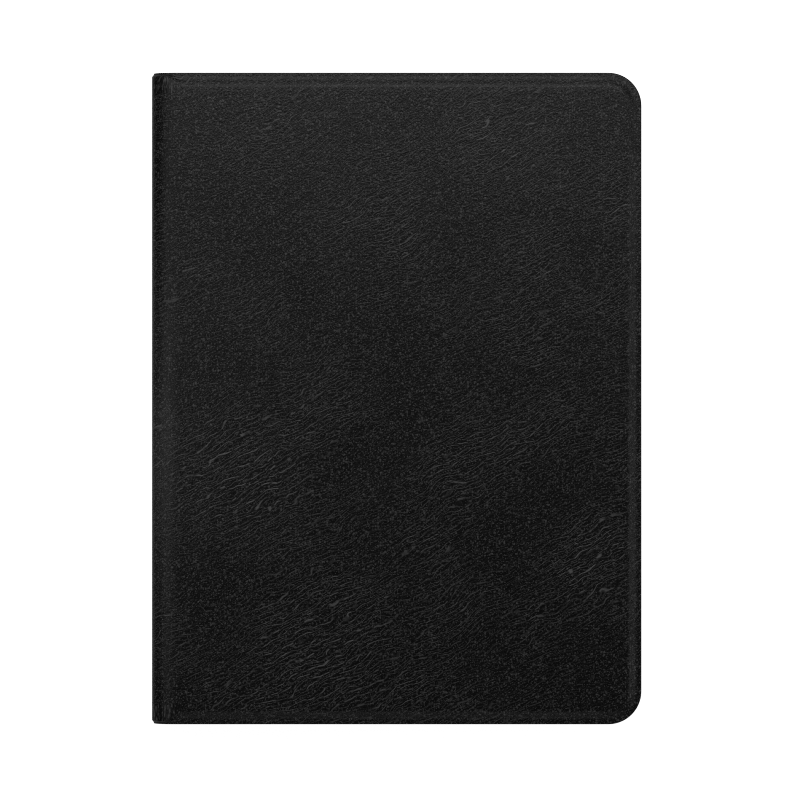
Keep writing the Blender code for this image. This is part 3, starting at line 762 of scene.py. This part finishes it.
def band(name, profile, low_y, high_y, material, y_steps):
    """A long piece of one closed (x, z) section, along Y."""
    cage = bmesh.new()
    grain = cage.loops.layers.uv.new("grain")
    runs = [0.0]
    for (x0, z0), (x1, z1) in zip(profile, profile[1:]):
        runs.append(runs[-1] + math.hypot(x1 - x0, z1 - z0))
    ys = [low_y] + spread(low_y, high_y, y_steps)
    where = {}
    rows = []
    for y in ys:
        row = []
        for (x, z), run in zip(profile, runs):
            vert = cage.verts.new((x, y, z))
            where[vert] = (run, y)
            row.append(vert)
        rows.append(row)
    for first, second in zip(rows, rows[1:]):
        strip_faces(cage, first, second, cyclic=True)
    ends = [cage.faces.new(rows[0]), cage.faces.new(rows[-1])]
    for face in cage.faces:
        for loop in face.loops:
            loop[grain].uv = where[loop.vert]
    bmesh.ops.triangulate(cage, faces=ends, ngon_method="EAR_CLIP")
    return new_piece(name, cage, material)


def thick_line(points, thickness):
    """The closed section of a strip of some thickness whose lower face follows the points."""
    upper = []
    for i, point in enumerate(points):
        before = Vector(points[max(i - 1, 0)])
        after = Vector(points[min(i + 1, len(points) - 1)])
        along = (after - before).normalized()
        upper.append((point[0] - along.y * thickness, point[1] + along.x * thickness))
    return list(points) + list(reversed(upper))


def window_cutter(extra, low, high):
    """A block the size of the camera window, some way larger all round."""
    half = WINDOW_HALF + extra
    rect = (WINDOW_X - half, WINDOW_X + half, WINDOW_Y - half, WINDOW_Y + half)
    return plate(
        "window_cutter",
        rect,
        (WINDOW_ROUND + extra,) * 4,
        [(0.0, low), (0.0, high)],
        None,
        steps=12,
        side_steps=2,
    )


def slot_cutter(length, height, along, axis, inner, outer):
    """A block with round ends that passes through a wall of the rim."""
    rect = (along - length / 2, along + length / 2, -height / 2, height / 2)
    turn = along_axis(axis)
    profile = [(0.0, inner), (0.0, outer)]
    return plate("slot_cutter", rect, (height / 2,) * 4, profile, None, turn=turn, side_steps=2)


def along_axis(axis):
    """A matrix that takes (along, up, out) to the rim's mid-height, for a wall facing Y or X."""
    if axis == "Y":
        columns = ((1, 0, 0), (0, 0, 1), (0, 1, 0))
    else:
        columns = ((0, 1, 0), (0, 0, 1), (1, 0, 0))
    matrix = Matrix(columns).transposed().to_4x4()
    return Matrix.Translation((0.0, 0.0, BAY_Z)) @ matrix


# ---------------------------------------------------------------- the frame's pieces

def rect_of(node, inset=0.0):
    """A node's plan, (x0, x1, y0, y1), set in if asked."""
    low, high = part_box(node)
    return (low.x + inset, high.x - inset, low.y + inset, high.y - inset)


def settle(thing, body, slot, *nodes):
    """The piece rides on a body and stands for its CAD nodes, which it hides; the slot is not used."""
    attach(thing, body)
    if nodes:
        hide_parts(*nodes)


def button_place(name):
    """A button's wall, middle along it, length, height, and its inner and outer ends."""
    low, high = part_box(name)
    middle = (low + high) / 2
    size = high - low
    if high.x > RIM[1].x:
        return "X", middle.y, size.y, size.z, low.x, high.x
    return "Y", middle.x, size.x, size.z, low.y, high.y


# ---------------------------------------------------------------- the two covers


def make_front(leather, microfibre, foam):
    """The front cover's leather, lining and padding."""
    cover = Cover(
        side=1,
        thickness=FRONT_THICKNESS,
        round_x=11.0 * MM,
        round_z=5.0 * MM,
        inner_round_z=3.0 * MM,
    )
    rings = leather_rings(cover, shoulder=5.9 * MM, drop=1.05 * MM, edge=0.8 * MM)
    skin = cover.build("front_leather", rings, leather, wave=0.12 * MM)
    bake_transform(skin)
    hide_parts("front_skin", "spine_skin")

    cloth = cover.build("front_lining_cloth", lining_rings(), microfibre)
    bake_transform(cloth)
    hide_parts("front_lining", "spine_lining")

    low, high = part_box("front_foam")
    spine_round = 1.0 * MM
    free_round = COVER_CORNER - (END_Y - high.y)
    pad = plate(
        "front_padding",
        rect_of("front_foam", 0.3 * MM),
        (spine_round, free_round, free_round, spine_round),
        slab_profile(low.z, high.z, radius=0.49 * MM),
        foam,
    )
    settle(pad, "front_cover", "foam", "front_foam")


def make_back(leather, microfibre):
    """The back cover's leather and lining, with the camera window in both."""
    cover = Cover(
        side=-1,
        thickness=BACK_THICKNESS,
        round_x=5.0 * MM,
        round_z=5.0 * MM,
        inner_round_z=1.5 * MM,
    )
    rings = leather_rings(cover, shoulder=3.2 * MM, drop=0.35 * MM, edge=0.7 * MM)
    skin = cover.build("back_leather", rings, leather)
    cut(skin, window_cutter(WINDOW_STEP, -MM, MID_Z))
    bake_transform(skin)
    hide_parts("back_skin")

    cloth = cover.build("back_lining_cloth", lining_rings(), microfibre)
    cut(cloth, window_cutter(WINDOW_STEP, -MM, MID_Z))
    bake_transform(cloth)
    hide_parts("back_lining")


def make_binding(leather):
    """A turned leather edge round the camera window in the back cover."""
    half = WINDOW_HALF + WINDOW_STEP
    rect = (WINDOW_X - half, WINDOW_X + half, WINDOW_Y - half, WINDOW_Y + half)
    within = 0.03 * MM
    gap = 0.02 * MM
    soft = 0.2 * MM
    low, high = within, BACK_THICKNESS - within
    profile = [
        (gap, low + soft),
        (soft, low),
        (BINDING - soft / 2, low + soft / 3),
        (BINDING, low + soft),
        (BINDING, high - soft),
        (BINDING - soft / 2, high - soft / 3),
        (soft, high),
        (gap, high - soft),
    ]
    ring = plate(
        "camera_window_binding",
        rect,
        (WINDOW_ROUND + WINDOW_STEP,) * 4,
        profile,
        leather,
        cyclic=True,
        steps=14,
        side_steps=8,
    )
    settle(ring, "back_cover", "leather")


# ---------------------------------------------------------------- the tray

def rim_profile(low, high):
    """The rim's closed section, as (inset, z): its wall, and the lip over the tablet's edge."""
    foot = 0.3 * MM
    crown = 0.6 * MM
    nose = 0.35 * MM
    ease = 0.15 * MM
    reach = RIM_WALL + LIP_REACH - nose
    profile = [(foot, low), (0.08 * MM, low + 0.1 * MM), (0.0, low + foot), (0.0, high - crown)]
    for angle in spread(0.0, math.pi / 2, 5):
        profile.append((crown * (1 - math.cos(angle)), high - crown * (1 - math.sin(angle))))
    profile += [(RIM_WALL, high), (reach, high)]
    for angle in spread(0.0, math.pi, 6)[:-1]:
        profile.append((reach + nose * math.sin(angle), high - LIP / 2 * (1 - math.cos(angle))))
    profile += [(reach, high - LIP), (RIM_WALL + ease, high - LIP)]
    profile += [(RIM_WALL, high - LIP - ease), (RIM_WALL, low + ease), (RIM_WALL - ease, low)]
    return profile


def make_rim(rubber):
    """The soft frame that grips the tablet, with slots for the port, speakers and buttons."""
    rect = rect_of("tray_rim")
    rim = plate(
        "soft_rim",
        rect,
        (RIM_CORNER,) * 4,
        rim_profile(RIM[0].z, RIM[1].z),
        rubber,
        cyclic=True,
        steps=24,
        side_steps=60,
    )
    x0, x1, y0, y1 = rect
    past = 1.0 * MM
    bottom = ("Y", y0 - past, y0 + RIM_WALL + past)
    top = ("Y", y1 - RIM_WALL - past, y1 + past)
    tools = [
        slot_cutter(*PORT_SIZE, (x0 + x1) / 2, *bottom),
        slot_cutter(*SPEAKER_SIZE, x0 + SPEAKER_INSET, *bottom),
        slot_cutter(*SPEAKER_SIZE, x1 - SPEAKER_INSET, *bottom),
        slot_cutter(*SPEAKER_SIZE, x0 + SPEAKER_INSET, *top),
    ]
    for name in BUTTONS:
        axis, along, length, height = button_place(name)[:4]
        outer = (x1 if axis == "X" else y1) + past
        inner = outer - RIM_WALL - 2 * past
        bay = (length + 2 * BUTTON_GAP, height + 2 * BUTTON_GAP)
        tools.append(slot_cutter(*bay, along, axis, inner, outer))
    cut(rim, *tools)
    settle(rim, "tray", "soft_rim", "tray_rim")


def make_button(name, rubber):
    """A button: a capsule with a rounded crown, proud of the rim."""
    axis, along, length, height, inner, outer = button_place(name)
    button = plate(
        name + "_cap",
        (along - length / 2, along + length / 2, -height / 2, height / 2),
        (height / 2,) * 4,
        slab_profile(inner, outer, radius=0.35 * MM, reach=1.2 * MM),
        rubber,
        turn=along_axis(axis),
        steps=12,
        side_steps=12,
    )
    settle(button, name, "soft_rim", name)


def make_tray(microfibre, plastic):
    """The tray's hard plate and its liner."""
    corners = (RIM_CORNER - RIM_WALL - 0.3 * MM,) * 4
    low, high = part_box("tray_plate")
    profile = slab_profile(low.z, high.z, radius=0.2 * MM, steps=3)
    hard = plate("tray_shell", rect_of("tray_plate"), corners, profile, plastic, steps=20)
    cut(hard, window_cutter(0.0, low.z - MM, high.z + MM))
    settle(hard, "tray", "tray_plastic", "tray_plate")

    low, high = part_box("tray_liner")
    rect = rect_of("tray_liner")
    profile = slab_profile(low.z, high.z, radius=0.12 * MM, steps=3)
    liner = plate("tray_liner_cloth", rect, corners, profile, microfibre, steps=20)
    cut(liner, window_cutter(WINDOW_STEP, low.z - MM, high.z + MM))
    settle(liner, "tray", "lining", "tray_liner")


def make_pads(leather):
    """The leather-covered pads behind the tray's plate."""
    tight = 0.8 * MM
    wide = 16.8 * MM
    for name, node, radii, edge in (
        ("base_pad_leather", "tray_base_pad", (1.5 * MM,) * 4, 0.96 * MM),
        ("top_pad_leather", "tray_top_pad", (tight, tight, wide, tight), 0.6 * MM),
        ("bottom_pad_leather", "tray_bottom_pad", (tight, wide, tight, tight), 0.6 * MM),
    ):
        low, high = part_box(node)
        profile = slab_profile(low.z + PAD_CROWN, high.z, edge, crown_low=PAD_CROWN)
        pad = plate(name, rect_of(node), radii, profile, leather, side_steps=30)
        if node == "tray_top_pad":
            cut(pad, window_cutter(WINDOW_STEP, low.z - MM, high.z + MM))
        settle(pad, "tray", "leather", node)


def make_tray_hinge(leather):
    """The flexible leather strip that is glued to the back cover and turns up into the tray."""
    low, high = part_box("tray_hinge_strip")
    axis = AXES["tray_tilt"]
    glue = axis.x - 1.6 * MM - low.x
    rise_x = axis.x - 1.02 * MM
    rise = 0.55 * MM
    line = [(low.x + glue * step / 8, low.z) for step in range(9)]
    for angle in spread(0.0, math.pi / 2, 4):
        line.append((rise_x - 0.5 * MM * math.cos(angle), low.z + rise * math.sin(angle) ** 2))
    section = thick_line(line, thickness=0.4 * MM)
    strip = band("tray_hinge_leather", section, low.y, high.y, leather, 60)
    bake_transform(strip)
    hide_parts("tray_hinge_strip")


# ---------------------------------------------------------------- the leg

def make_leg(leather):
    """The prop leg's leather sleeve, open at its tip."""
    low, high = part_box("leg_sleeve")
    past = 1.5 * MM
    profile = slab_profile(low.z, high.z, radius=1.0 * MM)
    rect = (low.x, high.x + past, low.y, high.y)
    sleeve = plate("leg_sleeve_leather", rect, (1.2 * MM,) * 4, profile, leather, side_steps=30)
    half = (high.z - low.z) / 2 - 0.5 * MM
    end_wall = 0.8 * MM
    core = (HINGE.x, high.x + 2 * past, low.y + end_wall, high.y - end_wall)
    inside = [(0.0, HINGE.z - half), (0.0, HINGE.z + half)]
    tip = (high.x, high.x + 2 * past, low.y - MM, high.y + MM)
    beyond = [(0.0, low.z - MM), (0.0, high.z + MM)]
    square = (0.0,) * 4
    cut(
        sleeve,
        plate("core_cutter", core, square, inside, None, steps=1, side_steps=2),
        plate("tip_cutter", tip, square, beyond, None, steps=1, side_steps=2),
    )
    settle(sleeve, "leg", "leather", "leg_sleeve")


def make_foot(rubber):
    """The leg's rubber foot, with a round tip that is ribbed along its length."""
    low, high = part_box("leg_foot")
    half = (high.z - low.z) / 2
    tip_x = high.x - half
    mid_z = (low.z + high.z) / 2
    ribs = 7
    rib = 0.07 * MM
    ease = 0.15 * MM
    straight = 1.2 * MM
    section = [(low.x + ease, low.z), (low.x + straight, low.z)]
    for part in [0.0] + spread(0.0, 1.0, 12 * ribs):
        radius = half - rib * (0.5 - 0.5 * math.cos(2 * math.pi * ribs * part))
        angle = math.pi * (part - 0.5)
        section.append((tip_x + radius * math.cos(angle), mid_z + radius * math.sin(angle)))
    section += [(low.x + straight, high.z), (low.x + ease, high.z)]
    section += [(low.x, high.z - ease), (low.x, low.z + ease)]
    foot = band("ribbed_foot", section, low.y, high.y, rubber, 40)
    settle(foot, "leg", "foot_rubber", "leg_foot")


def make_leg_hinge(leather):
    """The thin leather strip over the leg's hinge, from the tray's back to the leg."""
    low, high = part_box("leg_sleeve")
    reach = 4.5 * MM
    inset = 1.5 * MM
    z = high.z + 0.02 * MM
    line = [(HINGE.x - reach + 2 * reach * step / 60, z) for step in range(61)]
    section = thick_line(line, thickness=0.15 * MM)
    strip = band("leg_hinge_leather", section, low.y + inset, high.y - inset, leather, 40)
    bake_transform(strip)


def finish_frame_pieces(board, steel, nickel):
    """The boards, keeper strips and magnets stay as the frame has them, with real finishes."""
    for name, node in frame["nodes"].items():
        if node.hide_render:
            continue
        if name.startswith("keeper"):
            finish = steel
        elif "magnet" in name:
            finish = nickel
        else:
            finish = board
        node.data.materials.clear()
        node.data.materials.append(finish)


# ---------------------------------------------------------------- the case, piece by piece

leather_sheet = leather_material("leather_wrapped", True, WRINKLED)
leather_small = leather_material("leather_pads", False)
microfibre_sheet = microfibre_material("microfibre_lining", (0.020, 0.020, 0.022), True)
microfibre_flat = microfibre_material("microfibre_liner", (0.020, 0.020, 0.022), False)
board = board_material("pressed_board", (0.26, 0.25, 0.23))
foam = foam_material("padding_foam")
steel = metal_material("rolled_steel", (0.50, 0.50, 0.51), rough=0.35, brushed=14.0)
nickel = metal_material("nickel_plate", (0.66, 0.63, 0.58), rough=0.22, brushed=3.0)
plastic = moulded_material(
    "tray_plastic", (0.014, 0.014, 0.015), rough=0.5, grain=1500.0, depth=0.06 * MM, specular=0.5
)
rubber = moulded_material(
    "soft_rim_rubber",
    (0.018, 0.018, 0.019),
    rough=0.62,
    grain=2200.0,
    depth=0.05 * MM,
    specular=0.35,
)

make_front(leather_sheet, microfibre_sheet, foam)
make_back(leather_sheet, microfibre_sheet)
make_binding(leather_small)
make_rim(rubber)
for button_name in BUTTONS:
    make_button(button_name, rubber)
make_tray(microfibre_flat, plastic)
make_pads(leather_small)
make_tray_hinge(leather_sheet)
make_leg(leather_small)
make_foot(rubber)
make_leg_hinge(leather_sheet)
finish_frame_pieces(board, steel, nickel)


# ---------------------------------------------------------------- floor, light and camera

def make_floor():
    """A wide pale floor under the case."""
    half = 1.6
    gap = 0.1 * MM
    cage = bmesh.new()
    bmesh.ops.create_grid(cage, x_segments=8, y_segments=8, size=half)
    mesh = bpy.data.meshes.new("floor")
    cage.to_mesh(mesh)
    cage.free()
    mesh.materials.append(floor_material("white_sweep"))
    floor = bpy.data.objects.new("floor", mesh)
    bpy.context.scene.collection.objects.link(floor)
    floor.location.z = -gap


def make_light(name, place, size, power):
    """A softbox aimed at the case."""
    lamp = bpy.data.lights.new(name, "AREA")
    lamp.shape = "RECTANGLE"
    lamp.size, lamp.size_y = size
    lamp.energy = power
    light = bpy.data.objects.new(name, lamp)
    bpy.context.scene.collection.objects.link(light)
    light.location = place
    aim = CASE_MIDDLE - Vector(place)
    light.rotation_mode = "QUATERNION"
    light.rotation_quaternion = aim.to_track_quat("-Z", "Y")


def make_world(strength):
    """Faint even light from all round."""
    world = bpy.data.worlds.new("studio")
    world.use_nodes = True
    tree = world.node_tree
    shader = tree.nodes["Background"]
    shader.inputs["Color"].default_value = (1.0, 1.0, 1.0, 1.0)
    seen = add(tree, "LightPath").outputs["Is Camera Ray"]
    tree.links.new(ramp(tree, seen, 0.0, 1.0, strength, 1.0), shader.inputs["Strength"])
    bpy.context.scene.world = world


def make_camera():
    """Straight down on the front cover, as in the photo."""
    lens = bpy.data.cameras.new("camera")
    lens.type = "PERSP"
    lens.sensor_width = 36.0
    lens.lens = 150.0
    lens.clip_start, lens.clip_end = 0.05, 20.0
    camera = bpy.data.objects.new("camera", lens)
    bpy.context.scene.collection.objects.link(camera)
    view_width = VIEW_WIDTHS * (FREE_X - SPINE_X)
    distance = view_width * lens.lens / lens.sensor_width
    camera.location = (*VIEW_SHIFT, TOP + distance)
    bpy.context.scene.camera = camera


make_camera()
make_floor()
make_world(0.01)

# Softboxes: their places and sizes in metres, and their power in watts
make_light("top_softbox", (0.0, 0.34, 0.6), (0.7, 0.26), 0.93)
make_light("far_top_softbox", (0.0, 0.62, 0.6), (0.7, 0.16), 0.28)
make_light("left_softbox", (-0.42, 0.0, 0.6), (0.7, 0.16), 0.20)
make_light("spine_strip", (-0.20, -0.02, 0.17), (0.05, 0.30), 0.035)
make_light("right_softbox", (0.56, 0.0, 0.6), (0.7, 0.16), 0.46)
make_light("bottom_softbox", (0.0, -0.60, 0.6), (0.7, 0.16), 0.25)

bpy.context.scene.view_settings.view_transform = "Standard"
bpy.context.scene.cycles.use_denoising = False
bpy.context.scene.cycles.filter_width = 1.0
